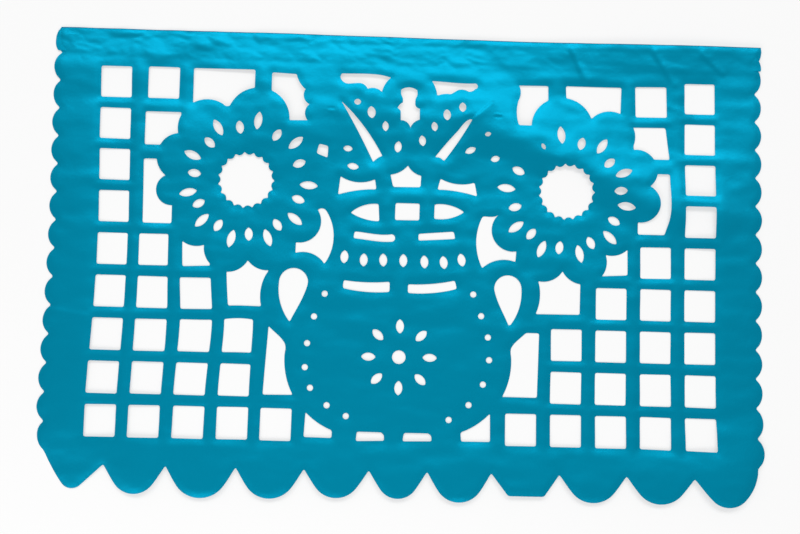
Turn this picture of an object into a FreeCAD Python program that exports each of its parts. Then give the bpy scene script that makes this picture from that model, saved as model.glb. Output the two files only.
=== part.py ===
import FreeCAD, Part
import math
import os

from FreeCAD import Vector

# A rectangular sheet of film with a picture cut out of it: a jug between two
# flowers, held in a lattice of square windows. The top margin is folded over to
# the back and glued, and leaves a narrow channel along the fold for a string.
# The sheet lies flat with its front up: X runs along the fold, Y points to it,
# and Z comes out of the front. The picture is drawn about the lattice's middle
# row and the sheet's centre line.

# Driving dimensions in millimetres
SIZES = (
    ("film_thickness", 0.1),
    # lattice
    ("left_column_pitch", 27.5),
    ("right_column_pitch", 28.5),
    ("row_pitch", 27.0),
    ("window_width", 19.6),
    ("window_height", 20.1),
    # margins, from the lattice's outer windows
    ("side_margin", 30.2),
    ("top_margin", 25.2),
    ("bottom_margin", 16.95),
    ("lobe_depth", 19.25),
    ("scallop_depth", 4.5),
    ("left_scallop_pitch", 18.1),
    ("right_scallop_pitch", 18.45),
    ("left_first_notch", 17.2),
    ("right_first_notch", 12.6),
    # hem and string channel
    ("hem_depth", 16.0),
    ("hem_ramp", 4.0),
    ("channel_width", 5.0),
    ("channel_height", 1.0),
    # punched and chiselled details
    ("flower_hole_radius", 18.2),
    ("serration_depth", 1.9),
    ("long_eye_length", 12.4),
    ("short_eye_length", 9.0),
    ("eye_width", 5.1),
    ("dot_radius", 2.0),
    ("medallion_hole_radius", 4.3),
    ("medallion_radius", 19.4),
    ("medallion_eye_length", 9.6),
    ("band_eye_length", 8.8),
)

# The lattice that the picture was drawn on: the picture stretches with its pitch
DRAWN_LEFT_PITCH = 27.5
DRAWN_RIGHT_PITCH = 28.5
DRAWN_ROW_PITCH = 27.0
OUTER_COLUMN = 189.0
ROWS = 9

# Cutters and trimming shapes reach this far past the film
REACH = 1.0

# Straight cuts in each side of an eye, in each scallop, in each tooth of a
# flower's hole and round a dot
EYE_CUTS = 4
SCALLOP_CUTS = 6
TOOTH_CUTS = 3
DOT_CUTS = 12

# Whole windows from the side inwards, row by row from the top, alike on both sides
WHOLE_WINDOWS = (1, 1, 1, 1, 2, 3, 4, 4, 5)

# Left and right windows that a figure's edge cuts into, or that join two cells
LEFT_OPEN_WINDOWS = (
    ((-168.4, 98.0), (-148.3, 98.0), (-148.3, 118.5), (-168.4, 118.5)),
    ((-139.0, 94.0), (-99.5, 94.0), (-99.5, 118.2), (-139.3, 118.2)),
    (
        (-88.8, 116.8), (-88.8, 85.4), (-65.2, 86.0),
        (-66.9, 91.6, -64.2, 96.5), (-68.1, 102.0, -67.0, 106.3),
        (-70.9, 110.8, -73.0, 116.2),
    ),
    ((-169.6, 67.5), (-146.5, 67.5), (-146.5, 89.0), (-169.6, 89.0)),
    ((-169.8, 17.2), (-150.5, 17.2), (-150.5, 58.5), (-169.8, 58.5)),
    ((-142.2, -10.2), (-124.8, -9.2), (-124.8, 6.0), (-142.8, 6.0)),
    ((-113.6, -34.8), (-87.0, -34.4), (-87.0, -5.0), (-114.0, -5.0)),
    ((-87.8, -89.6), (-66.0, -89.2), (-75.2, -56.8), (-86.0, -46.6)),
    ((-61.2, -115.4), (-43.6, -115.4), (-43.6, -109.0), (-60.6, -98.0)),
)
RIGHT_OPEN_WINDOWS = (
    ((147.2, 95.0), (167.5, 95.0), (167.3, 115.2), (147.0, 115.0)),
    ((103.0, 93.2), (137.4, 93.2), (138.2, 114.2), (102.0, 114.2)),
    (
        (90.4, 113.9), (71.4, 113.6), (72.4, 109.4, 71.0, 103.6),
        (69.7, 95.6, 71.0, 86.8), (90.4, 86.8),
    ),
    ((146.0, 67.2), (169.4, 67.4), (166.8, 88.4), (146.0, 88.0)),
    (
        (148.8, 18.2), (166.0, 18.2), (169.2, 30.0), (169.2, 57.6), (156.0, 57.6), (148.8, 40.0),
    ),
    ((124.9, -9.3), (142.3, -8.4), (142.3, 9.0), (127.0, 9.0)),
    ((83.4, -34.8), (112.0, -34.4), (112.2, -14.0), (112.2, -5.5), (82.0, -5.5)),
    ((63.6, -87.4), (85.4, -87.4), (86.1, -46.6), (77.7, -46.6), (68.6, -56.4)),
    ((37.6, -116.0), (55.9, -116.0), (55.7, -97.0), (37.0, -108.0)),
)

# Figures that fill the lattice: discs given by centre and radius
LEFT_FLOWER = (-103.2, 46.5)
RIGHT_FLOWER = (102.8, 44.4)
FLOWER_HEART = 42.0
LEFT_PETALS = (
    (6.5, 40.0, 20.0), (-26.3, 32.8, 18.8), (-42.8, 13.6, 15.3), (-48.1, -7.7, 10.0),
    (-30.8, -28.5, 15.0), (-10.3, -44.0, 15.3), (15.2, -42.5, 15.3), (34.7, -26.0, 13.8),
)
RIGHT_PETALS = (
    (-3.3, 41.8, 20.2), (28.0, 37.5, 16.3), (45.2, 15.6, 13.4), (47.6, -6.0, 12.5),
    (29.2, -25.4, 15.0), (11.2, -44.4, 15.0), (-14.8, -43.4, 15.0), (-34.7, -26.1, 13.4),
)
BELLY = ((-27.5, -66.1, 47.4), (21.2, -65.7, 47.5))
HANDLES = ((-62.0, -28.0, 30.0), (56.5, -22.5, 30.0))

# Eyes round each flower, by bearing from their ring's centre, which lies a little
# off the hole's; one long eye on the right was never cut, and the short eye before
# it is only a nick
LEFT_RING = (-102.1, 46.2)
RIGHT_RING = (102.8, 42.6)
LONG_EYE_RING = 39.0
SHORT_EYE_RING = 34.5
LEFT_LONG_EYES = (82, 121, 157, 193, 223, 256, 291, 322, 357, 40)
LEFT_SHORT_EYES = (100, 137, 174, 207, 239, 273, 305, 341, 20, 59)
RIGHT_LONG_EYES = (96, 55, 22, -10, -44, -77, -114, -146, 175)
RIGHT_SHORT_EYES = (75, 38, 5, -28, -63, -97, -131, -165, 155)
RIGHT_NICK = 117
SERRATIONS = 19

# Slots of the crest above the jug; a stroke of four numbers is an arc through
# its first pair
CREST_SLOTS = (
    (
        (-44.8, 115.4), (-44.0, 117.5), (-19.0, 117.3), (-12.0, 115.8),
        (-15.7, 111.4, -17.8, 106.0), (-21.0, 108.1, -27.0, 107.8),
        (-28.6, 110.0, -31.5, 111.4), (-39.3, 110.9), (-43.2, 112.3, -44.8, 115.4),
    ),
    (
        (14.6, 114.8), (17.0, 110.0, 18.1, 105.2), (22.4, 106.3, 27.0, 106.4),
        (29.0, 107.6, 31.4, 109.1), (35.0, 109.5, 38.3, 108.3), (41.0, 108.8, 42.6, 110.1),
        (44.3, 112.2, 42.0, 113.8),
    ),
    (
        (-5.1, 105.4), (-3.9, 102.2), (-3.9, 99.7), (-5.8, 98.4, -7.2, 96.1), (-5.2, 94.4),
        (-5.1, 88.1), (-1.2, 87.0, 1.2, 83.4), (3.6, 86.9, 7.1, 88.7), (7.1, 96.0),
        (4.9, 97.0, 4.1, 99.2), (4.2, 101.8), (5.5, 105.3), (5.3, 108.2),
        (0.0, 109.9, -5.1, 108.2),
    ),
    ((-43.8, 99.2), (-32.6, 80.1, -22.3, 60.6), (-19.4, 63.2, -16.5, 64.7), (-28.1, 82.4, -43.8, 99.2)),
    ((41.0, 89.6), (38.6, 89.3), (27.6, 77.5, 17.2, 64.9), (20.4, 64.5), (23.1, 62.4), (32.6, 75.8, 41.0, 89.6)),
    ((-57.2, 71.1), (-58.7, 64.9), (-51.6, 62.3), (-51.3, 69.8)),
    ((0.0, 58.8), (-4.4, 54.9, -11.1, 52.6), (-9.2, 44.7), (8.4, 45.0), (8.7, 52.4), (3.3, 54.9, 0.0, 58.8)),
    ((-43.1, 50.6), (-44.4, 38.7), (-31.6, 41.8, -19.9, 42.7), (-20.9, 49.2), (-31.8, 47.0, -43.1, 50.6)),
    ((21.2, 50.9), (19.4, 43.7), (31.8, 43.0, 45.0, 40.2), (43.2, 49.0), (32.0, 47.7, 21.2, 50.9)),
)
# Small eyes of the crest: place, length, width, bearing
CREST_EYES = (
    (-33.2, 99.0, 4.6, 4.0, 0), (-24.0, 92.6, 8.2, 5.2, 97), (-15.0, 83.9, 6.8, 4.0, 92),
    (-6.4, 70.8, 7.6, 4.6, 84), (34.6, 97.5, 6.6, 4.5, 90), (24.8, 92.3, 7.6, 4.8, 96),
    (16.7, 84.5, 6.4, 4.0, 98), (9.2, 75.0, 7.2, 4.4, 100), (-38.8, 68.8, 6.2, 3.7, -3),
    (-35.0, 57.4, 7.8, 4.2, -8), (51.2, 80.2, 4.2, 2.8, 20), (40.1, 69.7, 7.8, 3.9, 25),
    (56.2, 64.6, 6.2, 3.9, 14),
)

# Slots of the jug: neck, shoulder, the gaps between it and the petals, handles, foot
JUG_SLOTS = (
    ((-35.8, 27.4), (-27.0, 23.6, -17.3, 22.3), (-18.0, 33.4), (-27.6, 32.2, -35.8, 27.4)),
    ((37.0, 29.7), (27.8, 33.7, 17.9, 34.0), (17.8, 24.7), (28.2, 25.4, 37.0, 29.7)),
    ((-7.4, 34.2), (-7.5, 23.2), (8.1, 23.4), (8.1, 34.3)),
    ((-33.1, 15.3), (-33.7, 10.9), (-9.0, 9.3), (-7.1, 11.4, -10.4, 13.9)),
    ((7.8, 14.8), (7.8, 10.4), (31.4, 12.1), (30.4, 16.8)),
    (
        (-39.2, -16.3), (-39.6, -21.4), (-25.0, -23.3, -9.8, -22.9), (-9.8, -16.4),
        (-24.4, -17.2, -39.2, -16.3),
    ),
    ((2.1, -17.5), (2.1, -23.1), (17.8, -22.8, 33.3, -19.9), (32.0, -14.6), (17.2, -17.0, 2.1, -17.5)),
    (
        (-56.8, 28.2), (-53.8, 29.3, -51.4, 27.8), (-46.4, 12.0, -51.9, -6.2),
        (-59.6, 0.0, -70.5, 0.4), (-70.3, 7.2), (-55.6, 15.6, -56.8, 28.2),
    ),
    (
        (58.8, 28.4), (57.0, 27.4), (48.8, 27.2), (45.0, 10.6, 49.1, -6.2), (58.8, -0.9, 70.3, -1.6),
        (70.8, 5.2), (55.4, 14.4, 58.8, 28.4),
    ),
    (
        (-72.3, -43.4), (-78.8, -31.0, -79.9, -18.0), (-71.0, -9.1, -61.5, -17.4),
        (-62.4, -22.0),
    ),
    (
        (66.6, -42.0), (57.2, -20.0), (65.0, -10.3, 74.5, -18.6), (73.0, -32.0, 67.9, -42.0),
    ),
    ((-28.0, -111.2), (-28.5, -117.0), (-10.7, -116.4), (-10.9, -113.0), (-12.6, -111.3)),
    ((1.8, -111.2), (0.9, -116.4), (19.2, -116.1), (18.9, -113.0), (17.2, -111.3)),
)
BAND_EYES = (
    (-38.9, -1.1, 88), (-26.6, -2.8, 89), (-14.2, -2.6, 91), (-1.3, -2.6, 91),
    (12.0, -3.3, 94), (24.5, -3.4, 97), (35.9, -1.3, 104),
)
MEDALLION = (-2.6, -64.1)
MEDALLION_EYES = 8
BELLY_DOTS = (
    (-50.8, -25.0), (-57.2, -39.7), (-61.0, -56.6), (-61.9, -71.7), (-58.1, -84.8), (-47.3, -95.3),
    (-35.2, -101.9), (43.7, -23.2), (49.0, -36.9), (53.5, -50.3), (54.4, -64.6), (50.8, -80.1),
    (42.1, -93.0), (29.8, -102.6),
)

# Bottom edge: where its cusps stand, and how much shallower than the deepest each
# lobe between them is; the fourth lobe from the right was cut off flat
CUSPS = (-185.2, -146.3, -102.7, -60.2, -19.7, 16.7, 56.9, 99.7, 142.0, 184.3)
LOBE_RISES = (3.9, 1.6, 0.0, 0.6, 1.9, 2.3, 0.8, 5.5, 2.3, 2.5, 2.1)
FLAT_LOBE = 7
# A lobe's flanks end this share of its half width from its middle and this share
# of its depth above its tip, and its round tip lies between them
FLANK_REACH = 0.62
FLANK_RISE = 0.32
# The flat cut's two ends, as shares of the half width from the middle
FLAT_CUT = (-0.5, 0.55)
# Corner lobes: the round tip's two ends, as steps from the tip, and the bulge up
# to the side's last notch, as a step in X from the notch and in Y from the tip
LEFT_CORNER_TIP = ((-6.0, 3.1), (6.0, 2.5))
LEFT_CORNER_BULGE = (7.0, 12.5)
RIGHT_CORNER_TIP = ((-8.5, 3.8), (10.5, 3.4))
RIGHT_CORNER_BULGE = (-4.0, 10.5)

# The string channel's roof comes down to the glue line in an arc through a point
# at this share of the channel's width and of its height
ROOF_REACH = 0.45
ROOF_HEIGHT = 0.8

doc = FreeCAD.newDocument("papel_picado")
sheet = doc.addObject("Spreadsheet::Sheet", "Sizes")
for row, (alias, value) in enumerate(SIZES, 1):
    sheet.set("A%d" % row, alias)
    sheet.set("B%d" % row, str(value))
    sheet.setAlias("B%d" % row, alias)
doc.recompute()


def size(alias):
    """Value of one of the driving dimensions, in millimetres."""
    return float(sheet.get(alias))


# Stretch of the drawn picture to the lattice's real pitch, as numbers and in expressions
LEFT_STRETCH = size("left_column_pitch") / DRAWN_LEFT_PITCH
RIGHT_STRETCH = size("right_column_pitch") / DRAWN_RIGHT_PITCH
ROW_STRETCH = size("row_pitch") / DRAWN_ROW_PITCH
MEAN_STRETCH = (
    "(Sizes.left_column_pitch / %g + Sizes.right_column_pitch / %g + 2 * Sizes.row_pitch / %g) / 4"
    % (DRAWN_LEFT_PITCH, DRAWN_RIGHT_PITCH, DRAWN_ROW_PITCH)
)

FILM = size("film_thickness")
LEFT_EDGE = -OUTER_COLUMN * LEFT_STRETCH - size("window_width") / 2 - size("side_margin")
RIGHT_EDGE = OUTER_COLUMN * RIGHT_STRETCH + size("window_width") / 2 + size("side_margin")
TOP_ROW = (ROWS - 1) / 2 * size("row_pitch")
FOLD = TOP_ROW + size("window_height") / 2 + size("top_margin")
CUSP_LINE = -TOP_ROW - size("window_height") / 2 - size("bottom_margin")
FLAP_EDGE = FOLD - size("hem_depth")
RAMP_FOOT = FLAP_EDGE - size("hem_ramp")


def bind(feature, **expressions):
    """Ties properties of a feature to the driving dimensions."""
    for name, expression in expressions.items():
        feature.setExpression(name.replace("_", "."), expression)


def across(x):
    """Expression for a place along X in the drawn picture."""
    side = "left" if x < 0 else "right"
    drawn = DRAWN_LEFT_PITCH if x < 0 else DRAWN_RIGHT_PITCH
    return "%g * Sizes.%s_column_pitch / %g" % (x, side, drawn)


def up(y):
    """Expression for a place along Y in the drawn picture."""
    return "%g * Sizes.row_pitch / %g" % (y, DRAWN_ROW_PITCH)


def at(x, y):
    """Point of the drawn picture on the real sheet."""
    return Vector(x * (LEFT_STRETCH if x < 0 else RIGHT_STRETCH), y * ROW_STRETCH, 0)


def polar(centre, radius, bearing):
    """Point at a radius and a bearing in degrees from a centre."""
    angle = math.radians(bearing)
    return centre + Vector(radius * math.cos(angle), radius * math.sin(angle), 0)


def draw(sketch, points):
    """Adds a closed outline; each item is the next corner, or an arc's middle and end."""
    edges = []
    start = points[0]
    for item in points[1:]:
        if isinstance(item, tuple):
            edges.append(Part.Arc(start, item[0], item[1]))
            start = item[1]
        else:
            edges.append(Part.LineSegment(start, item))
            start = item
    if start.distanceToPoint(points[0]) > 1e-6:
        edges.append(Part.LineSegment(start, points[0]))
    sketch.addGeometry(edges, False)


def draw_picture(sketch, outline):
    """Adds one closed outline of the drawn picture."""
    points = []
    for stroke in outline:
        if len(stroke) == 4:
            points.append((at(*stroke[:2]), at(*stroke[2:])))
        else:
            points.append(at(*stroke))
    draw(sketch, points)


def draw_eye(sketch, centre, length, width, bearing):
    """Adds an almond: two equal arcs that meet at its pointed ends, in EYE_CUTS chisel cuts each."""
    half = length / 2
    radius = (half ** 2 + (width / 2) ** 2) / width
    opening = math.degrees(math.asin(half / radius))
    points = []
    for side in (0, 180):
        middle = polar(centre, width / 2 - radius, bearing + 90 + side)
        for k in range(EYE_CUTS):
            turn = opening * (2 * k / EYE_CUTS - 1)
            points.append(polar(middle, radius, bearing + 90 + side + turn))
    draw(sketch, points)


def draw_dot(sketch, centre, radius):
    """Adds a punched dot."""
    draw(sketch, [polar(centre, radius, 360 * k / DOT_CUTS) for k in range(DOT_CUTS)])


def draw_flower(sketch, place, ring_place, long_eyes, short_eyes):
    """Adds the serrated hole of a flower and the ring of long and short eyes round it."""
    centre = at(*place)
    ring_centre = at(*ring_place)
    tooth = 360 / SERRATIONS
    hole = []
    for k in range(SERRATIONS * TOOTH_CUTS):
        rise = math.sin(math.pi * (k % TOOTH_CUTS) / TOOTH_CUTS)
        radius = size("flower_hole_radius") - size("serration_depth") * rise
        hole.append(polar(centre, radius, k * tooth / TOOTH_CUTS))
    draw(sketch, hole)
    for bearings, ring, length in (
        (long_eyes, LONG_EYE_RING, size("long_eye_length")),
        (short_eyes, SHORT_EYE_RING, size("short_eye_length")),
    ):
        for bearing in bearings:
            draw_eye(sketch, polar(ring_centre, ring, bearing), length, size("eye_width"), bearing)


def draw_crest(sketch):
    """Adds the slots and small eyes of the crest over the jug."""
    for outline in CREST_SLOTS:
        draw_picture(sketch, outline)
    for x, y, length, width, bearing in CREST_EYES:
        draw_eye(sketch, at(x, y), length, width, bearing)


def draw_jug(sketch):
    """Adds the jug's slots, the eyes on its shoulder, its medallion and the dots on its belly."""
    for outline in JUG_SLOTS:
        draw_picture(sketch, outline)
    for x, y, bearing in BAND_EYES:
        draw_eye(sketch, at(x, y), size("band_eye_length"), size("eye_width"), bearing)
    draw_dot(sketch, at(*MEDALLION), size("medallion_hole_radius"))
    for k in range(MEDALLION_EYES):
        bearing = k * 360 / MEDALLION_EYES
        spot = polar(at(*MEDALLION), size("medallion_radius"), bearing)
        draw_eye(sketch, spot, size("medallion_eye_length"), size("eye_width"), bearing)
    for place in BELLY_DOTS:
        draw_dot(sketch, at(*place), size("dot_radius"))


def new_sketch(name, height="0"):
    """Empty sketch level with the film, at a height above its underside."""
    sketch = doc.addObject("Sketcher::SketchObject", name)
    bind(sketch, Placement_Base_z=height)
    return sketch


def prism(name, sketch, length):
    """Solid that stands on a sketch."""
    feature = doc.addObject("Part::Extrusion", name)
    feature.Base = sketch
    feature.DirMode = "Normal"
    feature.Solid = True
    feature.FaceMakerClass = "Part::FaceMakerBullseye"
    bind(feature, LengthFwd=length)
    return feature


def disc(name, x, y, radius):
    """Round part of a figure, which stretches with the picture."""
    feature = doc.addObject("Part::Cylinder", name)
    bind(
        feature,
        Radius="%g * %s" % (radius, MEAN_STRETCH),
        Height="Sizes.film_thickness + %g" % (4 * REACH),
        Placement_Base_x=across(x),
        Placement_Base_y=up(y),
    )
    feature.Placement.Base.z = -2 * REACH
    return feature


def boolean(kind, name, **links):
    """Part boolean with its arguments."""
    feature = doc.addObject(kind, name)
    for key, value in links.items():
        setattr(feature, key, value)
    return feature


def scalloped_side(sign, pitch, first_notch, top, bottom):
    """Path down a side margin; its notches lie a pitch apart, the scallops' tips on the edge."""
    edge = LEFT_EDGE if sign < 0 else RIGHT_EDGE
    depth = size("scallop_depth")
    radius = (pitch ** 2 / 4 + depth ** 2) / (2 * depth)

    def on_edge(y):
        turns = (FOLD - first_notch - y) / pitch
        away = (turns - math.floor(turns) - 0.5) * pitch
        return Vector(edge + sign * (math.sqrt(radius ** 2 - away ** 2) - radius), y, 0)

    stops = [top]
    notch = FOLD - first_notch % pitch
    while notch > bottom + REACH:
        if notch < top - REACH:
            stops.append(notch)
        notch -= pitch
    stops.append(bottom)
    path = [on_edge(top)]
    for upper, lower in zip(stops, stops[1:]):
        cuts = max(2, round(SCALLOP_CUTS * (upper - lower) / pitch))
        for k in range(1, cuts + 1):
            path.append(on_edge(upper + (lower - upper) * k / cuts))
    return path


def last_notch(pitch, first_notch):
    """Height of the lowest side notch, where the corner's lobe begins."""
    room = FOLD - first_notch - CUSP_LINE - 0.3 * pitch
    return FOLD - first_notch - pitch * math.floor(room / pitch)


def lobe(left, right, tip, flat):
    """Path of one bottom lobe after its left cusp: steep flanks and a round tip, or a cut one."""
    middle = (left.x + right.x) / 2
    half = (right.x - left.x) / 2
    if flat:
        return [Vector(middle + share * half, tip, 0) for share in FLAT_CUT] + [right]
    flank_end = tip + FLANK_RISE * size("lobe_depth")
    left_end = Vector(middle - FLANK_REACH * half, flank_end, 0)
    right_end = Vector(middle + FLANK_REACH * half, flank_end, 0)
    return [left_end, (Vector(middle, tip, 0), right_end), right]


def film_outline():
    """Outline of the single film under the hem: scalloped sides and lobed bottom."""
    left_pitch = size("left_scallop_pitch")
    left_first = size("left_first_notch")
    right_pitch = size("right_scallop_pitch")
    right_first = size("right_first_notch")
    left_corner = last_notch(left_pitch, left_first)
    right_corner = last_notch(right_pitch, right_first)
    path = scalloped_side(-1, left_pitch, left_first, RAMP_FOOT, left_corner)
    right_side = scalloped_side(1, right_pitch, right_first, RAMP_FOOT, right_corner)
    cusps = [Vector(at(x, 0).x, CUSP_LINE, 0) for x in CUSPS]
    tips = [CUSP_LINE - size("lobe_depth") + rise for rise in LOBE_RISES]

    corner = path[-1]
    tip = Vector((corner.x + cusps[0].x) / 2, tips[0], 0)
    tip_start, tip_end = [tip + Vector(*step, 0) for step in LEFT_CORNER_TIP]
    path.append((Vector(corner.x + LEFT_CORNER_BULGE[0], tip.y + LEFT_CORNER_BULGE[1], 0), tip_start))
    path.append((tip, tip_end))
    path.append(cusps[0])
    for k, (left, right) in enumerate(zip(cusps, cusps[1:]), 1):
        path += lobe(left, right, tips[k], k == FLAT_LOBE)
    corner = right_side[-1]
    tip = Vector((corner.x + cusps[-1].x) / 2, tips[-1], 0)
    tip_start, tip_end = [tip + Vector(*step, 0) for step in RIGHT_CORNER_TIP]
    path.append(tip_start)
    path.append((tip, tip_end))
    path.append((Vector(corner.x + RIGHT_CORNER_BULGE[0], tip.y + RIGHT_CORNER_BULGE[1], 0), corner))
    return path + right_side[-2::-1]


def cutter(name, sketch):
    """Solid through the single film, from a sketch that lies REACH below it."""
    return prism(name, sketch, "Sizes.film_thickness + %g" % (2 * REACH))


def punched_details():
    """All that is cut within the figures: eyes, slots, serrated holes and dots."""
    sketch = new_sketch("details_outline", "-%g" % REACH)
    draw_flower(sketch, LEFT_FLOWER, LEFT_RING, LEFT_LONG_EYES, LEFT_SHORT_EYES)
    draw_flower(sketch, RIGHT_FLOWER, RIGHT_RING, RIGHT_LONG_EYES, RIGHT_SHORT_EYES)
    nick = polar(at(*RIGHT_RING), SHORT_EYE_RING, RIGHT_NICK)
    draw_eye(sketch, nick, size("short_eye_length") / 2, size("eye_width") / 2, RIGHT_NICK)
    draw_crest(sketch)
    draw_jug(sketch)
    return cutter("punched_details", sketch)


def whole_windows():
    """Square windows of the lattice that no figure touches."""
    windows = []
    for row, count in enumerate(WHOLE_WINDOWS):
        row_y = ((ROWS - 1) / 2 - row) * DRAWN_ROW_PITCH
        for column in range(count):
            for side, place in (
                ("left", -OUTER_COLUMN + column * DRAWN_LEFT_PITCH),
                ("right", OUTER_COLUMN - column * DRAWN_RIGHT_PITCH),
            ):
                window = doc.addObject("Part::Box", "window_%s_%d_%d" % (side, row + 1, column + 1))
                bind(
                    window,
                    Length="Sizes.window_width",
                    Width="Sizes.window_height",
                    Height="Sizes.film_thickness + %g" % (2 * REACH),
                    Placement_Base_x=across(place) + " - Sizes.window_width / 2",
                    Placement_Base_y=up(row_y) + " - Sizes.window_height / 2",
                    Placement_Base_z="-%g" % REACH,
                )
                windows.append(window)
    return windows


def open_windows():
    """Windows that join cells or run up to a figure, which stands in front of the lattice."""
    sketch = new_sketch("open_windows_outline", "-%g" % REACH)
    for outline in LEFT_OPEN_WINDOWS + RIGHT_OPEN_WINDOWS:
        draw_picture(sketch, outline)
    whole = cutter("open_windows_whole", sketch)
    return boolean("Part::Cut", "open_windows", Base=whole, Tool=figures())


def figures():
    """Silhouettes of the flowers and the jug."""
    parts = []
    for side, (x, y), petals in (
        ("left", LEFT_FLOWER, LEFT_PETALS),
        ("right", RIGHT_FLOWER, RIGHT_PETALS),
    ):
        parts.append(disc(side + "_flower_heart", x, y, FLOWER_HEART))
        for k, (dx, dy, radius) in enumerate(petals, 1):
            parts.append(disc("%s_petal_%d" % (side, k), x + dx, y + dy, radius))
    for name, discs in (("belly", BELLY), ("handle", HANDLES)):
        for side, (x, y, radius) in zip(("left", "right"), discs):
            parts.append(disc("%s_%s" % (side, name), x, y, radius))
    return boolean("Part::MultiFuse", "figures", Shapes=parts)


# Expression for the sheet's whole width, from margin to margin
WHOLE_WIDTH = "%g * Sizes.left_column_pitch / %g + %g * Sizes.right_column_pitch / %g" % (
    OUTER_COLUMN, DRAWN_LEFT_PITCH, OUTER_COLUMN, DRAWN_RIGHT_PITCH
) + " + Sizes.window_width + 2 * Sizes.side_margin"


def folded_strip():
    """Top margin folded over and glued: a section in Y and Z, run along X."""
    channel = size("channel_height")
    round_out = channel / 2 + FILM
    fold_middle = FOLD - round_out
    glue_line = fold_middle - size("channel_width")
    roof = fold_middle - ROOF_REACH * size("channel_width")
    roof_height = FILM + ROOF_HEIGHT * channel

    def section(y, z):
        return Vector(y, z, 0)

    sketch = doc.addObject("Sketcher::SketchObject", "hem_section")
    sketch.Placement = FreeCAD.Placement(Vector(LEFT_EDGE, 0, 0), FreeCAD.Rotation(Vector(1, 1, 1), 120))
    draw(sketch, [
        section(RAMP_FOOT, 0),
        section(FLAP_EDGE, FILM),
        section(FLAP_EDGE, 0),
        section(fold_middle, 0),
        (section(FOLD, round_out), section(fold_middle, 2 * round_out)),
        (section(roof, roof_height + FILM), section(glue_line, 2 * FILM)),
        section(FLAP_EDGE, 2 * FILM),
        section(RAMP_FOOT, FILM),
    ])
    draw(sketch, [
        section(glue_line, FILM),
        section(fold_middle, FILM),
        (section(fold_middle + channel / 2, FILM + channel / 2), section(fold_middle, FILM + channel)),
        (section(roof, roof_height), section(glue_line, FILM)),
    ])
    return prism("folded_strip", sketch, WHOLE_WIDTH)


def hem_region(name, left_first, right_first, bottom, floor, height):
    """Space between the two scalloped sides, from past the fold down to a level."""
    left_side = scalloped_side(-1, size("left_scallop_pitch"), left_first, FOLD, bottom)
    right_side = scalloped_side(1, size("right_scallop_pitch"), right_first, FOLD, bottom)
    past_fold = Vector(0, REACH, 0)
    sketch = new_sketch(name + "_outline", floor)
    draw(sketch, [left_side[0] + past_fold] + left_side + right_side[::-1] + [right_side[0] + past_fold])
    return prism(name, sketch, height)


def hem():
    """Folded strip with scalloped ends; behind the fold the scallops run on and come back down."""
    left_first = size("left_first_notch")
    right_first = size("right_first_notch")
    below = "-%g" % REACH
    whole_height = "2 * Sizes.film_thickness + Sizes.channel_height + %g" % (2 * REACH)
    front = hem_region("hem_front", left_first, right_first, RAMP_FOOT, below, whole_height)
    under = doc.addObject("Part::Box", "under_hem")
    bind(
        under,
        Length=WHOLE_WIDTH + " + %g" % (4 * REACH),
        Width="Sizes.hem_depth + %g" % (2 * REACH),
        Height="Sizes.film_thickness + %g" % (2 * REACH),
    )
    under.Placement.Base = Vector(LEFT_EDGE - 2 * REACH, FLAP_EDGE, -2 * REACH)
    above_flap = boolean("Part::Cut", "hem_front_above_flap", Base=front, Tool=under)
    flap = hem_region(
        "hem_flap",
        size("left_scallop_pitch") - left_first,
        size("right_scallop_pitch") - right_first,
        FLAP_EDGE,
        below,
        "Sizes.film_thickness + %g" % REACH,
    )
    region = boolean("Part::MultiFuse", "hem_region", Shapes=[above_flap, flap])
    return boolean("Part::MultiCommon", "hem", Shapes=[folded_strip(), region])


def single_film():
    """Film below the hem, not yet cut through."""
    sketch = new_sketch("film_outline")
    draw(sketch, film_outline())
    return prism("single_film", sketch, "Sizes.film_thickness")


def build():
    """The finished sheet, with its origin under the middle of its outline."""
    blank = boolean("Part::Fuse", "blank", Base=single_film(), Tool=hem())
    cuts = whole_windows() + [open_windows(), punched_details()]
    openings = boolean("Part::Compound", "openings", Links=cuts)
    whole = boolean("Part::Cut", "papel_picado_sheet", Base=blank, Tool=openings)
    whole.Label = "papel_picado_sheet"
    bind(
        whole,
        Placement_Base_x="(%g * Sizes.left_column_pitch / %g - %g * Sizes.right_column_pitch / %g) / 2"
        % (OUTER_COLUMN, DRAWN_LEFT_PITCH, OUTER_COLUMN, DRAWN_RIGHT_PITCH),
        Placement_Base_y="(Sizes.bottom_margin + Sizes.lobe_depth - Sizes.top_margin) / 2",
    )
    return whole


part = build()
doc.recompute()

for feature in doc.Objects:
    if "Invalid" in feature.State or "Error" in feature.State:
        raise RuntimeError("%s failed: %s" % (feature.Name, feature.State))
if part.Shape.isNull() or not part.Shape.isValid():
    raise RuntimeError("the sheet has no valid shape")
if len(part.Shape.Solids) != 1:
    raise RuntimeError("the sheet fell into %d solids" % len(part.Shape.Solids))

os.makedirs("parts", exist_ok=True)
part.Shape.exportStep("parts/%s.step" % part.Label)
box = part.Shape.BoundBox
print("box %.2f %.2f %.2f to %.2f %.2f %.2f" % (box.XMin, box.YMin, box.ZMin, box.XMax, box.YMax, box.ZMax))
print("film area %.0f mm2, volume %.1f mm3" % (part.Shape.Volume / FILM, part.Shape.Volume))
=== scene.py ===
import math
import random

import bmesh
import bpy
import numpy as np
from bpy.props import FloatProperty, FloatVectorProperty, IntProperty, PointerProperty
from bpy.types import Operator, Panel, PropertyGroup
from mathutils import Matrix, Vector, noise
from mathutils.geometry import delaunay_2d_cdt
from mathutils.kdtree import KDTree


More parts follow.
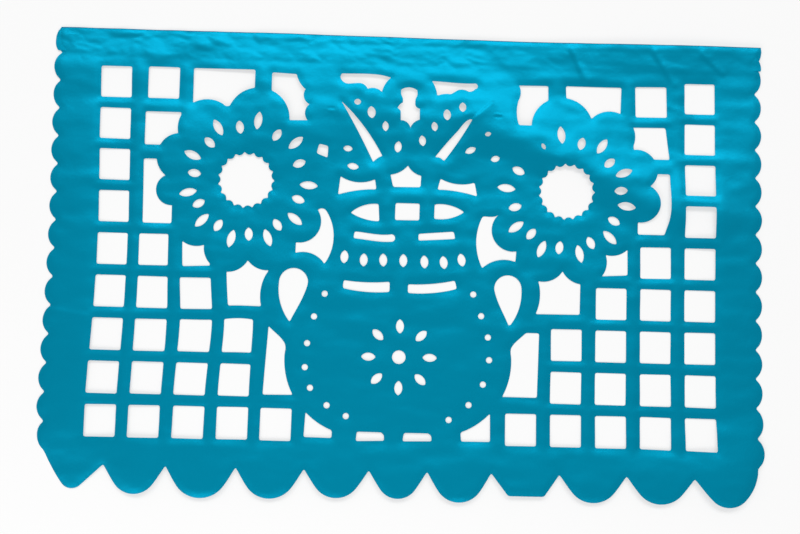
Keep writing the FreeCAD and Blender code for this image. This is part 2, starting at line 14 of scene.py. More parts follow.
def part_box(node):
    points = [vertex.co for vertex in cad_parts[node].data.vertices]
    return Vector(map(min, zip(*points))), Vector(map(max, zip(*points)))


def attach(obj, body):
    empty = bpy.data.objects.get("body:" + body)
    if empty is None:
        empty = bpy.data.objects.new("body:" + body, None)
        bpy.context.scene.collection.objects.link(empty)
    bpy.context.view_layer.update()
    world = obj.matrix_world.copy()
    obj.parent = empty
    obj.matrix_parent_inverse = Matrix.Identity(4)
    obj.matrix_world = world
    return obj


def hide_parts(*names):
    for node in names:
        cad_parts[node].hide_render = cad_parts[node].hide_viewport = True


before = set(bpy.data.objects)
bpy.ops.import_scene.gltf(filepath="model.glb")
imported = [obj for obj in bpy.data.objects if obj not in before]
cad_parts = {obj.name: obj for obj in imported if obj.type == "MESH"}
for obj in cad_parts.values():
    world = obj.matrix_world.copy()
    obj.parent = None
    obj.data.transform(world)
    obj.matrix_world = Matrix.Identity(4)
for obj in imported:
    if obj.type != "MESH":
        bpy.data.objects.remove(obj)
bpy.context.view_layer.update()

bl_info = {
    "name": "Papel Picado Sheet",
    "version": (1, 0, 0),
    "blender": (4, 5, 0),
    "location": "3D View > Sidebar > Papel Picado",
    "description": "A cut and hemmed sheet of thin film, laid flat, and the stage it lies on",
    "category": "Add Mesh",
}

NODE = "papel_picado_sheet"
MM = 0.001
LOW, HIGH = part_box(NODE)

# Points of an outline closer together than this are one
LEAST_STEP = 0.02 * MM
# Turns sharper than this along a cut are corners; the rest are parts of a curve
CORNER_TURN = math.radians(40)
# Rows of facets round the fold
FOLD_ROWS = 6
# Least distance of an inner point from a cut, as a share of the points' spacing
CLEARANCE = 0.55
# Share of the full curl that the smallest cuts get
LEAST_PRESS = 0.35
# Depth in hems down to which the creases of the doubled band reach, and their fading
CRUMPLE_DEPTH = 1.35
CRUMPLE_FADE = 0.12
# Depth in hems down to which the facets are fine
FINE_DEPTH = 1.3

# Long low folds in millimetres: points of the crest, half widths on its left and right, height
FOLDS = (
    (((52, 90), (70, 85), (100, 71), (150, 47), (190, 34)), 23, 12, 3.0),
    (((-72, 105), (-20, 102), (14, 98)), 58, 20, 2.4),
    (((-150, 82), (-105, 86), (-66, 84)), 18, 26, 1.7),
    (((-228, 123), (-100, 121)), 22, 14, 1.0),
    (((-160, -144), (210, -144)), 30, 12, 3.4),
    (((-206, 90), (-208, 30), (-206, -110)), 18, 16, 0.9),
    (((-163, 130), (-125, 143)), 9, 4, 0.5),
    (((105, 144), (115, 123)), 3.0, 1.5, 0.5),
    (((159, 143), (172, 123)), 3.0, 1.5, 0.5),
    (((190, 143), (203, 131)), 3.0, 1.5, 0.42),
    (((168, 108), (182, 103)), 2.6, 1.6, 0.3),
    (((-227, -34), (-214, -37), (-199, -38)), 2.0, 1.6, 0.3),
    (((-226, -43), (-200, -41)), 2.0, 1.6, 0.2),
    (((42, 96), (53, 106.5)), 0.4, 3.5, 0.4),
)
# Round swells in millimetres: place, half widths in X and Y, height
SWELLS = (
    (168, 154, 90, 26, 3.0),
    (210, -122, 30, 34, 1.6),
    (208, 20, 22, 60, 1.2),
    (-178, -86, 30, 40, 1.5),
)
# Almonds cut but not parted, in millimetres: place, half length, half width, rise in each one in Y
UNPARTED = (
    (57.5, 98, 3.0, 1.5, 0.14),
    (-50, 99, 3.0, 1.5, -0.1),
)
# Boxes of fine facets round the smallest marks, in millimetres: place, half widths in X and Y
FINE_BOXES = (
    (50, 101, 13, 9),
    (-50, 99, 5, 4),
)
# Where the film is drawn a little out of true, in millimetres: place, half widths, move in X and Y
DRIFTS = (
    (-200, 5, 38, 72, 3.1, 0.4),
    (-128, -42, 28, 28, 2.6, 0.3),
    (-106, -42, 14, 12, 0.8, 1.8),
    (90, 152, 130, 50, -0.8, -0.9),
    (208, -122, 34, 34, 0.9, -1.3),
    (-228, -118, 12, 14, 1.6, 0),
)
# Lamps in metres: width, depth, place
KEY_LAMP = (2.4, 0.7, (0.1, 1.3, 1.9))
FILL_LAMP = (1.2, 0.5, (-0.2, -0.8, 0.7))
# Width of the square floor in metres
FLOOR_WIDTH = 8


class FilmSizes(PropertyGroup):
    """How the film is cut, folded and laid."""

    thickness: FloatProperty(
        name="Thickness", description="Thickness of the film",
        default=0.1 * MM, unit="LENGTH", precision=5)
    hem_depth: FloatProperty(
        name="Hem depth", description="How far the flap reaches behind the front",
        default=16 * MM, unit="LENGTH")
    fold_reach: FloatProperty(
        name="Fold reach", description="How far the fold bulges past the flat film",
        default=0.6 * MM, unit="LENGTH")
    hem_ramp: FloatProperty(
        name="Hem ramp", description="Width over which the film climbs onto the flap",
        default=4 * MM, unit="LENGTH")
    channel_width: FloatProperty(
        name="Channel width", description="Width of the string channel along the fold",
        default=5 * MM, unit="LENGTH")
    channel_height: FloatProperty(
        name="Channel height", description="Height of the empty string channel, pressed low",
        default=0.35 * MM, unit="LENGTH")
    facet: FloatProperty(
        name="Facet", description="Spacing of the points inside the film",
        default=1.8 * MM, unit="LENGTH")
    mark_facet: FloatProperty(
        name="Mark facet", description="Spacing of the points round the smallest marks",
        default=0.7 * MM, unit="LENGTH")
    fine_facet: FloatProperty(
        name="Fine facet", description="Spacing of the points in the hem",
        default=1.3 * MM, unit="LENGTH")
    rim_step: FloatProperty(
        name="Rim step", description="Longest step along a cut edge",
        default=1.5 * MM, unit="LENGTH")
    corner_radius: FloatProperty(
        name="Corner radius", description="Rounding that the chisel leaves in a corner",
        default=1.3 * MM, unit="LENGTH")
    stray: FloatProperty(
        name="Stray", description="How far a cut may stray from its place",
        default=0.15 * MM, unit="LENGTH")
    swell: FloatProperty(
        name="Swell", description="Share of the drawn height of swells and creases",
        default=1.0, min=0, max=2)
    curl: FloatProperty(
        name="Curl", description="How far a cut edge is pressed down",
        default=0.45 * MM, unit="LENGTH")
    curl_reach: FloatProperty(
        name="Curl reach", description="How far from a cut its curl reaches",
        default=2.6 * MM, unit="LENGTH")
    ripple: FloatProperty(
        name="Ripple", description="Height of the film's own small ripples",
        default=0.45 * MM, unit="LENGTH")
    full_press: FloatProperty(
        name="Full press", description="Area from which a cut is pressed down in full",
        default=120 * MM * MM, unit="AREA", precision=6)
    crumple: FloatProperty(
        name="Crumple", description="Height of the creases in the hem",
        default=0.55 * MM, unit="LENGTH")
    seed: IntProperty(name="Seed", description="Start of the random draws", default=7)


class FilmFinish(PropertyGroup):
    """Colour and surface of the film."""

    colour: FloatVectorProperty(
        name="Colour", description="Colour of the film in plain light",
        subtype="COLOR", size=3, default=(0.0, 0.29, 0.47), min=0, max=1)
    sheen: FloatVectorProperty(
        name="Sheen", description="Tint of the film's reflections",
        subtype="COLOR", size=3, default=(0.02, 0.65, 0.85), min=0, max=1)
    metallic: FloatProperty(
        name="Metallic", description="Share of metal-like sheen",
        default=0.5, min=0, max=1, subtype="FACTOR")
    roughness: FloatProperty(
        name="Roughness", description="Blur of the reflections",
        default=0.4, min=0, max=1, subtype="FACTOR")
    wrinkle: FloatProperty(
        name="Wrinkle", description="Strength of the finest wrinkles",
        default=0.35, min=0, max=1, subtype="FACTOR")


class StageLook(PropertyGroup):
    """Floor, lamps and camera."""

    floor: FloatVectorProperty(
        name="Floor", description="Colour of the floor",
        subtype="COLOR", size=3, default=(0.93, 0.93, 0.93), min=0, max=1)
    glow: FloatProperty(
        name="Glow", description="Light added to the floor as the camera sees it",
        default=0.54, min=0)
    key: FloatProperty(
        name="Key lamp", description="Power of the lamp beyond the fold",
        default=27.0, unit="POWER")
    fill: FloatProperty(
        name="Fill lamp", description="Power of the lamp before the lobes",
        default=4.4, unit="POWER")
    sky: FloatProperty(
        name="Sky", description="Strength of the light from all round",
        default=0.36, min=0)
    lens: FloatProperty(
        name="Lens", description="Focal length in millimetres",
        default=45.44, min=10)
    distance: FloatProperty(
        name="Distance", description="From the camera to the film",
        default=0.6446, unit="LENGTH")
    azimuth: FloatProperty(
        name="Azimuth", description="Camera's bearing in degrees",
        default=-11.97)
    elevation: FloatProperty(
        name="Elevation", description="Camera's height angle in degrees",
        default=85.11)
    roll: FloatProperty(
        name="Roll", description="Turn about the line of sight in degrees",
        default=13.45)
    aim: FloatVectorProperty(
        name="Aim", description="Point of the sheet at the picture's middle",
        size=2, default=(-3.36 * MM, -1.27 * MM), unit="LENGTH")


def deselect_all():
    """Leaves nothing selected, in object mode."""
    if bpy.context.object and bpy.context.object.mode != "OBJECT":
        bpy.ops.object.mode_set(mode="OBJECT")
    bpy.ops.object.select_all(action="DESELECT")


def activate(piece):
    """Selects one object alone and makes it the active one."""
    deselect_all()
    piece.select_set(True)
    bpy.context.view_layer.objects.active = piece


def node_loops(keep):
    """Boundary loops, seen from above, of the CAD node's faces that pass a test."""
    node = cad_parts[NODE]
    copy = bpy.data.objects.new("outline_copy", node.data.copy())
    bpy.context.collection.objects.link(copy)
    activate(copy)
    bpy.ops.object.mode_set(mode="EDIT")
    bpy.ops.mesh.select_all(action="SELECT")
    bpy.ops.mesh.remove_doubles(threshold=1e-6)
    bpy.ops.object.mode_set(mode="OBJECT")
    cut = bmesh.new()
    cut.from_mesh(copy.data)
    bmesh.ops.delete(cut, geom=[f for f in cut.faces if not keep(f)], context="FACES")
    rims = {}
    for edge in cut.edges:
        if len(edge.link_faces) == 1:
            start = edge.link_loops[0].vert
            end = edge.link_loops[0].link_loop_next.vert
            rims[start.index] = (end.index, start.co.xy.copy())
    loops = []
    while rims:
        first = next(iter(rims))
        loop = []
        here = first
        while here in rims:
            here, spot = rims.pop(here)
            loop.append(spot)
        loops.append(loop)
    cut.free()
    bpy.data.objects.remove(copy)
    return sorted(loops, key=lambda loop: -abs(loop_area(loop)))


def loop_area(loop):
    """Signed area inside a loop of points."""
    return sum(a.cross(b) for a, b in zip(loop, loop[1:] + loop[:1])) / 2


def without_repeats(loop, least):
    """The loop without points closer together than a distance."""
    kept = []
    for spot in loop:
        if not kept or (spot - kept[-1]).length > least:
            kept.append(spot)
    while len(kept) > 3 and (kept[0] - kept[-1]).length <= least:
        kept.pop()
    return kept


def turn_at(loop, k):
    """Angle by which a loop turns at one of its points."""
    before = loop[k] - loop[k - 1]
    after = loop[(k + 1) % len(loop)] - loop[k]
    return abs(before.angle_signed(after))


def rounded(loop, sizes, seam=None):
    """A loop with its curves made smooth, its corners rounded and its points evenly spaced."""
    count = len(loop)
    corner = [turn_at(loop, k) > CORNER_TURN for k in range(count)]
    path = []
    for k in range(count):
        start, end, beyond = loop[k], loop[(k + 1) % count], loop[(k + 2) % count]
        run = end - start
        following = beyond - end
        length = run.length
        before = run if corner[k] else start - loop[k - 1]
        after = run if corner[(k + 1) % count] else following
        leave = (before.normalized() + run.normalized()).normalized() * length
        arrive = (run.normalized() + after.normalized()).normalized() * length
        trim_start = corner_trim(loop, k, corner[k], sizes, seam)
        trim_end = corner_trim(loop, (k + 1) % count, corner[(k + 1) % count], sizes, seam)
        straight = length - trim_start - trim_end
        steps = max(1, math.ceil(straight / sizes.rim_step))
        for i in range(steps + (1 if trim_end else 0)):
            path.append(hermite(start, end, leave, arrive, (trim_start + straight * i / steps) / length))
        if trim_end:
            going_in = path[-1]
            coming_out = end + following.normalized() * trim_end
            for t in (1 / 3, 2 / 3):
                path.append((1 - t) ** 2 * going_in + 2 * t * (1 - t) * end + t * t * coming_out)
    return without_repeats(path, 5 * LEAST_STEP)


def corner_trim(loop, k, is_corner, sizes, seam):
    """How far from a corner its rounding starts, on both sides alike."""
    if not is_corner or (seam is not None and loop[k].y > seam - LEAST_STEP):
        return 0
    shorter = min((loop[k] - loop[k - 1]).length, (loop[(k + 1) % len(loop)] - loop[k]).length)
    return min(sizes.corner_radius, shorter / 3)


def hermite(start, end, leave, arrive, t):
    """Point on a smooth curve between two points with given tangents."""
    return (
        (2 * t ** 3 - 3 * t ** 2 + 1) * start + (t ** 3 - 2 * t ** 2 + t) * leave
        + (-2 * t ** 3 + 3 * t ** 2) * end + (t ** 3 - t ** 2) * arrive
    )


def strayed(loop, sizes, draw):
    """A cut moved and turned a little, as hands leave it."""
    middle = sum(loop, Vector((0, 0))) / len(loop)
    shift = Vector((draw.uniform(-1, 1), draw.uniform(-1, 1))) * sizes.stray
    across = max((spot - middle).length for spot in loop)
    turn = Matrix.Rotation(draw.uniform(-1, 1) * sizes.stray / across, 2)
    return [middle + turn @ (spot - middle) + shift for spot in loop]


def inside(points, loop):
    """Which points lie inside a loop."""
    found = np.zeros(len(points), bool)
    xs = np.array([spot.x for spot in loop])
    ys = np.array([spot.y for spot in loop])
    for x0, y0, x1, y1 in zip(xs, ys, np.roll(xs, -1), np.roll(ys, -1)):
        if y0 == y1:
            continue
        crosses = (y0 > points[:, 1]) != (y1 > points[:, 1])
        where = x0 + (points[:, 1] - y0) * (x1 - x0) / (y1 - y0)
        found ^= crosses & (points[:, 0] < where)
    return found


def filled(outer, holes, spacing, fine_above, fine, mark):
    """Points and triangles that fill an outline round its holes, finer above a level and round marks."""
    rims = [outer] + holes
    spots = [spot for loop in rims for spot in loop]
    edges = []
    first = 0
    for loop in rims:
        edges += [(first + k, first + (k + 1) % len(loop)) for k in range(len(loop))]
        first += len(loop)
    tree = rim_tree(rims)
    low = Vector((min(s.x for s in outer), min(s.y for s in outer)))
    high = Vector((max(s.x for s in outer), max(s.y for s in outer)))
    grid = []
    y = low.y
    odd = False
    while y < high.y:
        gap = fine if y > fine_above else spacing
        for x in np.arange(low.x + (gap / 2 if odd else 0), high.x, gap):
            if tree.find((x, y, 0))[2] > CLEARANCE * gap:
                grid.append((x, y))
        y += gap * math.sqrt(3) / 2
        odd = not odd
    grid = np.array(with_fine_boxes(grid, tree, mark))
    spots += [Vector(p) for p in grid[on_film(grid, outer, holes)]]
    found = delaunay_2d_cdt(spots, edges, [], 0, 1e-9)
    points = np.array([tuple(p) for p in found[0]])
    faces = np.array([f for f in found[2] if len(f) == 3])
    return points, faces[on_film(points[faces].mean(axis=1), outer, holes)]


def with_fine_boxes(grid, tree, mark):
    """Points of the grid, with closer ones in place of those in the boxes round marks."""
    for cx, cy, wide, deep in FINE_BOXES:
        low = Vector((cx - wide, cy - deep)) * MM
        high = Vector((cx + wide, cy + deep)) * MM
        grid = [p for p in grid if not (low.x < p[0] < high.x and low.y < p[1] < high.y)]
        for x in np.arange(low.x, high.x, mark):
            column = [(x, y) for y in np.arange(low.y, high.y, mark)]
            grid += [p for p in column if tree.find((*p, 0))[2] > CLEARANCE * mark]
    return grid


def on_film(points, outer, holes):
    """Which points lie inside the outline and outside every hole."""
    found = inside(points, outer)
    for hole in holes:
        found &= ~inside_near(points, hole)
    return found


def inside_near(points, loop):
    """Which points lie inside a small loop, tested only near it."""
    low = np.array([min(s.x for s in loop), min(s.y for s in loop)])
    high = np.array([max(s.x for s in loop), max(s.y for s in loop)])
    near = np.where(((points >= low) & (points <= high)).all(axis=1))[0]
    found = np.zeros(len(points), bool)
    if len(near):
        found[near] = inside(points[near], loop)
    return found


def rise(x, y, sizes):
    """How high the laid film stands off the floor at places in metres."""
    u = x / MM
    v = y / MM
    height = sum(fold_height(u, v, *fold) for fold in FOLDS)
    height += sum(top * bell((u - cx) / wide, (v - cy) / deep) for cx, cy, wide, deep, top in SWELLS)
    for cx, cy, long, wide, tilt in UNPARTED:
        reach = np.hypot((u - cx) / long, (v - cy) / wide)
        height += tilt * (v - cy) / (1 + np.exp(np.minimum(50, (reach - 1) / 0.1)))
    ripples = np.array([ripple(a, b) for a, b in zip(u, v)])
    return height * MM * sizes.swell + ripples * sizes.ripple


def ripple(u, v):
    """Share of the ripples' height at a place in millimetres."""
    return noise.noise((u / 30, v / 11, 5.2)) + 0.4 * noise.noise((u / 12, v / 6, 9.4))


def bell(u, v):
    """Smooth bump of height one about the origin."""
    return np.exp(-(u * u + v * v))


def fold_height(x, y, crest, left, right, top):
    """Height of one fold, whose two slopes may differ, at places in millimetres."""
    nearest = np.full_like(x, np.inf)
    side = np.zeros_like(x)
    for (ax, ay), (bx, by) in zip(crest, crest[1:]):
        length = math.hypot(bx - ax, by - ay)
        ux, uy = (bx - ax) / length, (by - ay) / length
        along = np.clip((x - ax) * ux + (y - ay) * uy, 0, length)
        away = np.hypot(x - ax - along * ux, y - ay - along * uy) + 1e-6
        closer = away < nearest
        side = np.where(closer, ((y - ay) * ux - (x - ax) * uy) / away, side)
        nearest = np.where(closer, away, nearest)
    half = (left + right) / 2 + side * (left - right) / 2
    return top * np.exp(-(nearest / half) ** 2)


def hem_crumple(x, y, sizes):
    """Sharp little creases of the doubled band, deepest on its left."""
    depth = (HIGH.y - y) / sizes.hem_depth
    deepest_left = 0.7 - 0.3 * np.tanh((x / MM - 55) / 20)
    share = 1 / (1 + np.exp((depth - CRUMPLE_DEPTH) / CRUMPLE_FADE)) * deepest_left
    creases = [crease(u, v) for u, v in zip(x / MM, y / MM)]
    return -sizes.crumple * share * np.array(creases)


def crease(u, v):
    """Depth of the creases at a place in millimetres, from none to about one."""
    u += 3.5 * noise.noise((u / 16, v / 9, 1.7))
    v += 2.5 * noise.noise((u / 13, v / 8, 4.9))
    broad = noise.voronoi(((u + 0.8 * v) / 17, v / 8.5, 3.1))[0]
    small = noise.voronoi(((u - 0.9 * v) / 8, v / 4.2, 6.3))[0]
    return 1.0 - 0.9 * (broad[1] - broad[0]) - 0.3 * (small[1] - small[0])


def flat_loops(sizes, seam):
    """Outlines read from the CAD node: the front's rims and the flap's, each the outer one first."""
    flap_edge = HIGH.y - sizes.hem_depth

    def is_front(face):
        middle = face.calc_center_median()
        in_channel = middle.y > flap_edge and middle.z < 1.5 * sizes.thickness
        return face.normal.z > 0.3 and not in_channel

    def is_flap(face):
        middle = face.calc_center_median()
        return face.normal.z < -0.5 and middle.y > flap_edge and middle.z < 0.5 * sizes.thickness

    front = [without_repeats(loop, LEAST_STEP) for loop in node_loops(is_front)]
    flap = [without_repeats(loop, LEAST_STEP) for loop in node_loops(is_flap)]
    return clipped(front[0], seam), front[1:], clipped(flap[0][::-1], seam)


def clipped(loop, seam):
    """A loop cut off at the seam; it starts at its top left corner and ends at its top right."""
    count = len(loop)
    start = next(
        k for k in range(count)
        if loop[k - 1].y > seam >= loop[k].y or loop[k - 1].y >= seam > loop[k].y)
    turned = loop[start:] + loop[:start]
    below = [spot for spot in turned if spot.y < seam - LEAST_STEP]
    first = turned.index(below[0])
    last = turned.index(below[-1])
    left = on_level(turned[first - 1], below[0], seam)
    right = on_level(turned[(last + 1) % count], below[-1], seam)
    return [left] + below + [right]


def on_level(above, below, level):
    """Where the line between two points meets a level in Y."""
    share = (level - below.y) / max(above.y - below.y, 1e-9)
    return Vector((below.x + (above.x - below.x) * min(1, share), level))


def seamed(loop, sizes, columns):
    """A clipped outline with its curves made smooth and its top edge in equal steps."""
    level = loop[0].y
    smooth = rounded(loop, sizes, level)
    start = min(range(len(smooth)), key=lambda k: (smooth[k] - loop[0]).length)
    smooth = smooth[start:] + smooth[:start]
    sides = [spot for spot in smooth if spot.y < level - LEAST_STEP]
    top = [loop[-1].lerp(loop[0], k / columns) for k in range(columns)]
    return [loop[0]] + sides + top


def front_height(x, y, pressed, sizes, seam):
    """Height of the front's middle layer over the floor, at places in metres."""
    flap_edge = HIGH.y - sizes.hem_depth
    onto_flap = np.clip((y - flap_edge + sizes.hem_ramp) / sizes.hem_ramp, 0, 1)
    over_channel = np.clip((y - seam + sizes.channel_width) / sizes.channel_width, 0, 1)
    return (
        sizes.thickness * (3 - 2 * onto_flap) * onto_flap ** 2
        + sizes.channel_height * np.sin(math.pi / 2 * over_channel)
        + laid_height(x, y, sizes) - pressed
    )


def laid_height(x, y, sizes):
    """Height of the film's lowest layer over the floor."""
    return rise(x, y, sizes) + hem_crumple(x, y, sizes)


def fold_strip(front_top, flap_top, sizes, seam):
    """Rows of points round the fold, from the front's top edge to the flap's."""
    bend = (sizes.channel_height + sizes.thickness) / 2
    rows = []
    for row in range(FOLD_ROWS + 1):
        share = row / FOLD_ROWS
        angle = math.pi * (0.5 - share)
        points = []
        for front, flap in zip(front_top, flap_top):
            x = front.x + (flap.x - front.x) * share
            y = seam + bend * math.cos(angle)
            base = float(laid_height(np.array([x]), np.array([seam]), sizes)[0])
            points.append((x, y, base + bend + bend * math.sin(angle)))
        rows.append(points)
    return rows


def rim_tree(loops):
    """Tree of the points along cut edges."""
    spots = [spot for loop in loops for spot in loop]
    tree = KDTree(len(spots))
    for k, spot in enumerate(spots):
        tree.insert(spot.to_3d(), k)
    tree.balance()
    return tree


def pressed_down(points, cuts, sizes):
    """How far the chisel pressed each point down beside the cut nearest to it."""
    tree = rim_tree(cuts)
    shares = []
    for cut in cuts:
        share = max(LEAST_PRESS, min(1, abs(loop_area(cut)) / sizes.full_press))
        shares += [share] * len(cut)
    down = []
    for x, y, *_ in points:
        _, k, away = tree.find((x, y, 0))
        down.append(sizes.curl * shares[k] * math.exp(-(away / sizes.curl_reach) ** 2))
    return np.array(down)


def drifted(mesh):
    """Draws the laid film a little out of true."""
    spots = np.empty(3 * len(mesh.vertices), np.float32)
    mesh.vertices.foreach_get("co", spots)
    x, y = spots[0::3] / MM, spots[1::3] / MM
    shares = [bell((x - cx) / wide, (y - cy) / deep) for cx, cy, wide, deep, _, _ in DRIFTS]
    for share, (_, _, _, _, along, across) in zip(shares, DRIFTS):
        spots[0::3] += share * along * MM
        spots[1::3] += share * across * MM
    mesh.vertices.foreach_set("co", spots)
    mesh.update()


def add_patch(cut, points, faces, up):
    """Adds a triangulated patch to a mesh, facing up or down."""
    verts = [cut.verts.new(p) for p in points]
    for face in faces:
        corners = [verts[k] for k in face]
        a, b, c = [corner.co for corner in corners]
        if ((b - a).cross(c - a).z > 0) != up:
            corners.reverse()
        cut.faces.new(corners)


def add_front(cut, outer, holes, cuts, sizes, seam):
    """Adds the film's front, pierced by its holes."""
    fine_above = HIGH.y - FINE_DEPTH * sizes.hem_depth
    points, faces = filled(outer, holes, sizes.facet, fine_above, sizes.fine_facet, sizes.mark_facet)
    pressed = pressed_down(points, cuts, sizes)
    z = front_height(points[:, 0], points[:, 1], pressed, sizes, seam)
    add_patch(cut, np.c_[points, z], faces, True)


def add_flap(cut, flap, sizes):
    """Adds the flap behind the hem."""
    points, faces = filled(flap, [], sizes.facet, HIGH.y, sizes.facet, sizes.facet)
    z = laid_height(points[:, 0], points[:, 1], sizes)
    add_patch(cut, np.c_[points, z], faces, False)


def add_fold(cut, front_top, flap_top, cuts, sizes, seam):
    """Adds the fold that joins the front's top edge to the flap's."""
    rows = fold_strip(front_top, flap_top, sizes, seam)
    x = np.array([spot.x for spot in front_top])
    pressed = pressed_down(rows[0], cuts, sizes)
    heights = front_height(x, np.full_like(x, seam), pressed, sizes, seam)
    rows[0] = [(spot.x, spot.y, z) for spot, z in zip(front_top, heights)]
    verts = [[cut.verts.new(p) for p in row] for row in rows]
    for upper, lower in zip(verts, verts[1:]):
        for a, b, c, d in zip(upper, upper[1:], lower[1:], lower):
            cut.faces.new((a, d, c, b))


def film_mesh(sizes):
    """The folded film as one layer of facets."""
    draw = random.Random(sizes.seed)
    seam = HIGH.y - sizes.fold_reach
    outer, holes, flap = flat_loops(sizes, seam)
    columns = math.ceil((outer[-1].x - outer[0].x) / sizes.rim_step)
    outer = seamed(outer, sizes, columns)
    flap = seamed(flap, sizes, columns)
    holes = [rounded(strayed(hole, sizes, draw), sizes) for hole in holes]
    cuts = [[spot for spot in outer if spot.y < seam - LEAST_STEP]] + holes
    cut = bmesh.new()
    add_front(cut, outer, holes, cuts, sizes, seam)
    add_flap(cut, flap, sizes)
    add_fold(cut, outer[-columns:] + [outer[0]], flap[-columns:] + [flap[0]], cuts, sizes, seam)
    bmesh.ops.remove_doubles(cut, verts=cut.verts, dist=LEAST_STEP)
    bmesh.ops.recalc_face_normals(cut, faces=cut.faces)
    lowest = min(v.co.z for v in cut.verts)
    bmesh.ops.translate(cut, verts=cut.verts, vec=(0, 0, sizes.thickness / 2 - lowest))
    mesh = bpy.data.meshes.new("cut_sheet")
    cut.to_mesh(mesh)
    cut.free()
    drifted(mesh)
    return mesh


def film_material(finish):
    """Satin turquoise film with fine wrinkles."""
    material = bpy.data.materials.new("turquoise_film")
    material.use_nodes = True
    nodes = material.node_tree.nodes
    links = material.node_tree.links
    surface = nodes["Principled BSDF"]
    surface.inputs["Base Color"].default_value = (*finish.colour, 1)
    surface.inputs["Specular Tint"].default_value = (*finish.sheen, 1)
    surface.inputs["Specular IOR Level"].default_value = 1.0
    surface.inputs["Metallic"].default_value = finish.metallic
    surface.inputs["Roughness"].default_value = finish.roughness

    place = nodes.new("ShaderNodeTexCoord")
    wrinkles = nodes.new("ShaderNodeTexNoise")
    wrinkles.inputs["Scale"].default_value = 160
    wrinkles.inputs["Detail"].default_value = 4
    wrinkles.inputs["Distortion"].default_value = 0.8
    links.new(place.outputs["Object"], wrinkles.inputs["Vector"])
    bump = nodes.new("ShaderNodeBump")
    bump.inputs["Strength"].default_value = finish.wrinkle
    bump.inputs["Distance"].default_value = 0.25 * MM
    links.new(wrinkles.outputs["Fac"], bump.inputs["Height"])
    links.new(bump.outputs["Normal"], surface.inputs["Normal"])
    return material


class PICADO_OT_cut_sheet(Operator):
    """Cuts, folds and lays the sheet of film"""

    bl_idname = "papel_picado.cut_sheet"
    bl_label = "Cut Sheet"

    def execute(self, context):
        sizes = context.scene.film_sizes
        mesh = film_mesh(sizes)
        piece = bpy.data.objects.new("cut_sheet", mesh)
        context.collection.objects.link(piece)
        activate(piece)
        layer = piece.modifiers.new("Film thickness", "SOLIDIFY")
        layer.thickness = sizes.thickness
        layer.offset = 0
        bpy.ops.object.modifier_apply(modifier=layer.name)
        bpy.ops.object.shade_smooth_by_angle(angle=math.radians(40))
        mesh.materials.append(film_material(context.scene.film_finish))
        net = cad_volume() / sizes.thickness
        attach(piece, "root")
        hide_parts(NODE)
        deselect_all()
        return {"FINISHED"}


def cad_volume():
    """Volume of the CAD node, which divided by the film's thickness is its net area."""
    whole = bmesh.new()
    whole.from_mesh(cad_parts[NODE].data)
    bmesh.ops.remove_doubles(whole, verts=whole.verts, dist=1e-6)
    volume = whole.calc_volume()
    whole.free()
    return volume


class PICADO_OT_set_stage(Operator):
    """Puts the pale floor, the lamps and the camera in place"""

    bl_idname = "papel_picado.set_stage"
    bl_label = "Set Stage"

    def execute(self, context):
        look = context.scene.stage_look
        deselect_all()
        bpy.ops.mesh.primitive_plane_add(size=FLOOR_WIDTH, location=(0, 0, -0.02 * MM))
        floor = context.object
        floor.name = "floor"
        floor.data.materials.append(floor_material(look))

        world = bpy.data.worlds.new("studio")
        context.scene.world = world
        world.use_nodes = True
        sky = world.node_tree.nodes["Background"]
        sky.inputs["Color"].default_value = (1, 1, 1, 1)
        sky.inputs["Strength"].default_value = look.sky

        add_lamp("key_lamp", look.key, *KEY_LAMP)
        add_lamp("fill_lamp", look.fill, *FILL_LAMP)
        add_camera(context, look)
        context.scene.view_settings.view_transform = "Standard"
        return {"FINISHED"}


def floor_material(look):
    """Pale floor that the camera sees half by its light and half as a glow, so shadows stay soft."""
    material = bpy.data.materials.new("pale_floor")
    material.use_nodes = True
    nodes = material.node_tree.nodes
    links = material.node_tree.links
    surface = nodes["Principled BSDF"]
    surface.inputs["Roughness"].default_value = 0.9
    surface.inputs["Specular IOR Level"].default_value = 0.0
    seen = nodes.new("ShaderNodeLightPath")
    colour = nodes.new("ShaderNodeMix")
    colour.data_type = "RGBA"
    by_light, by_camera = [socket for socket in colour.inputs if socket.type == "RGBA"]
    by_light.default_value = (*look.floor, 1)
    by_camera.default_value = (*[value / 2 for value in look.floor], 1)
    glow = nodes.new("ShaderNodeMath")
    glow.operation = "MULTIPLY"
    glow.inputs[1].default_value = look.glow
    links.new(seen.outputs["Is Camera Ray"], colour.inputs["Factor"])
    links.new(seen.outputs["Is Camera Ray"], glow.inputs[0])
    mixed = next(socket for socket in colour.outputs if socket.type == "RGBA")
    links.new(mixed, surface.inputs["Base Color"])
    surface.inputs["Emission Color"].default_value = (1, 1, 1, 1)
    links.new(glow.outputs[0], surface.inputs["Emission Strength"])
    return material


def add_lamp(name, power, width, depth, spot):
    """Soft lamp, wide and level, that points at the middle of the sheet."""
    lamp = bpy.data.lights.new(name, "AREA")
    lamp.shape = "RECTANGLE"
    lamp.energy = power
    lamp.size = width
    lamp.size_y = depth
    holder = bpy.data.objects.new(name, lamp)
    bpy.context.collection.objects.link(holder)
    holder.location = spot
    holder.rotation_euler = (-Vector(spot)).to_track_quat("-Z", "Y").to_euler()


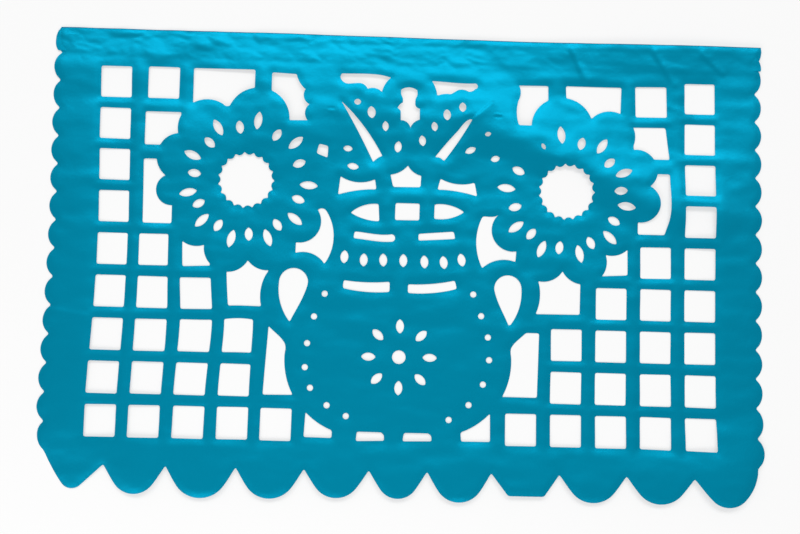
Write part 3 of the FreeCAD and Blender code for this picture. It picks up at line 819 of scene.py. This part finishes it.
def add_camera(context, look):
    """Camera that looks down on the sheet, turned a little."""
    camera = bpy.data.cameras.new("camera")
    camera.lens = look.lens
    holder = bpy.data.objects.new("camera", camera)
    context.collection.objects.link(holder)
    azimuth = math.radians(look.azimuth)
    elevation = math.radians(look.elevation)
    roll = math.radians(look.roll)
    level = Vector((math.sin(azimuth), -math.cos(azimuth), 0))
    back = math.cos(elevation) * level + math.sin(elevation) * Vector((0, 0, 1))
    target = Vector((look.aim[0], look.aim[1], 0))
    holder.location = target + back * look.distance
    turn = back.to_track_quat("Z", "Y").to_matrix()
    holder.rotation_euler = (turn @ Matrix.Rotation(roll, 3, "Z")).to_euler()
    context.scene.camera = holder


class PICADO_PT_panel(Panel):
    """Lists what makes the sheet and its stage"""

    bl_idname = "PICADO_PT_panel"
    bl_label = "Papel Picado"
    bl_space_type = "VIEW_3D"
    bl_region_type = "UI"
    bl_category = "Papel Picado"

    def draw(self, context):
        self.list_settings(context.scene.film_sizes)
        self.list_settings(context.scene.film_finish)
        self.layout.operator("papel_picado.cut_sheet")
        self.list_settings(context.scene.stage_look)
        self.layout.operator("papel_picado.set_stage")

    def list_settings(self, settings):
        """Shows each setting of one group."""
        for name in settings.__annotations__:
            self.layout.prop(settings, name)


CLASSES = (FilmSizes, FilmFinish, StageLook, PICADO_OT_cut_sheet, PICADO_OT_set_stage, PICADO_PT_panel)


def register():
    """Makes the settings, operators and panel known."""
    for entry in CLASSES:
        bpy.utils.register_class(entry)
    bpy.types.Scene.film_sizes = PointerProperty(type=FilmSizes)
    bpy.types.Scene.film_finish = PointerProperty(type=FilmFinish)
    bpy.types.Scene.stage_look = PointerProperty(type=StageLook)


def unregister():
    """Takes them away again."""
    del bpy.types.Scene.stage_look
    del bpy.types.Scene.film_finish
    del bpy.types.Scene.film_sizes
    for entry in reversed(CLASSES):
        bpy.utils.unregister_class(entry)


def main():
    """Makes the sheet and its stage."""
    register()
    bpy.ops.papel_picado.cut_sheet()
    bpy.ops.papel_picado.set_stage()


if __name__ == "__main__":
    main()
